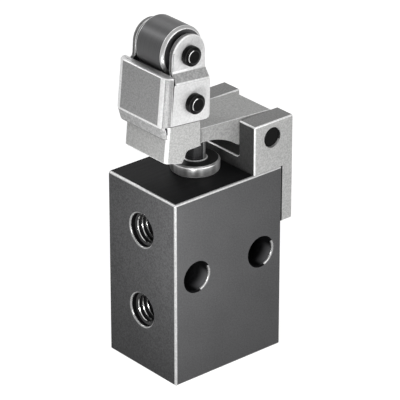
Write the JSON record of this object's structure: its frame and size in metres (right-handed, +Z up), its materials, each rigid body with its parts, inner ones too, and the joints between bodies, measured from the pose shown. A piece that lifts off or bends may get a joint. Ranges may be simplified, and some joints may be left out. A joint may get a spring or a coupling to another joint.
{
  "type": "directional control valve",
  "caption": "Small roller lever valve: a ported block with a plunger, pressed by an arched lever whose head carries a roller in a tilting sheet yoke.",
  "frame": {"origin": "centre of the body's underside, on the plunger's axis", "axes": "+Z up along the plunger, -X out of the ports, mounting holes along Y"},
  "size_m": [0.0223, 0.015, 0.0531],
  "materials": {
    "anodised_body": "dark anodised, satin",
    "cast_metal": "die-cast, fine blasted",
    "pressed_steel": "zinc plated, brushed",
    "black_steel": "black oxide",
    "ground_steel": "hardened and ground",
    "turned_steel": "bright turned",
    "screw_steel": "zinc plated",
    "spring_wire": "drawn wire",
    "brass": "turned",
    "seal_rubber": "matte"
  },
  "bodies": {
    "valve": {"valve_body": "anodised_body", "guide_bush": "turned_steel", "bush_o_ring": "seal_rubber", "plunger_o_ring": "seal_rubber", "seal_washer": "turned_steel", "plunger_spring": "spring_wire", "valve_seat": "brass", "seat_o_ring": "seal_rubber", "poppet_spring": "spring_wire", "bottom_plug": "brass", "plug_o_ring": "seal_rubber", "hinge_bracket": "cast_metal", "hinge_pin": "black_steel", "bracket_screws": "screw_steel"},
    "plunger": {"plunger": "turned_steel"},
    "poppet": {"poppet_holder": "brass", "poppet_disc": "seal_rubber"},
    "lever": {"lever": "cast_metal", "tilt_spring": "spring_wire"},
    "carrier": {"roller_carrier": "pressed_steel", "tilt_pin": "black_steel", "roller_axle": "black_steel"},
    "roller": {"roller": "ground_steel", "roller_bush": "black_steel"}
  },
  "joints": [
    {"name": "lever_hinge", "type": "hinge", "parent": "valve", "child": "lever", "pos_m": [0.0081, 0, 0.034], "axis": [0, -1, 0], "range_deg": [0, 7.8], "stiffness_Nm_per_rad": 0.004, "springref_deg": -28.65},
    {"name": "plunger_slide", "type": "slide", "parent": "valve", "child": "plunger", "axis": [0, 0, -1], "range_m": [0, 0.00112], "deforming": ["plunger_spring"]},
    {"name": "poppet_slide", "type": "slide", "parent": "valve", "child": "poppet", "axis": [0, 0, -1], "range_m": [0, 0.0008], "deforming": ["poppet_spring"]},
    {"name": "carrier_tilt", "type": "hinge", "parent": "lever", "child": "carrier", "pos_m": [-0.005, 0, 0.0426], "axis": [0, 1, 0], "range_deg": [0, 60], "stiffness_Nm_per_rad": 0.0006, "springref_deg": -20.05, "deforming": ["tilt_spring"]},
    {"name": "roller_spin", "type": "hinge", "parent": "carrier", "child": "roller", "pos_m": [-0.00477, 0, 0.04936], "axis": [0, 1, 0], "continuous": true}
  ],
  "couplings": [
    {"joint": "plunger_slide", "follows": "lever_hinge", "m_per_rad": 0.0081},
    {"joint": "poppet_slide", "follows": "lever_hinge", "m_per_rad": 0.00575}
  ]
}
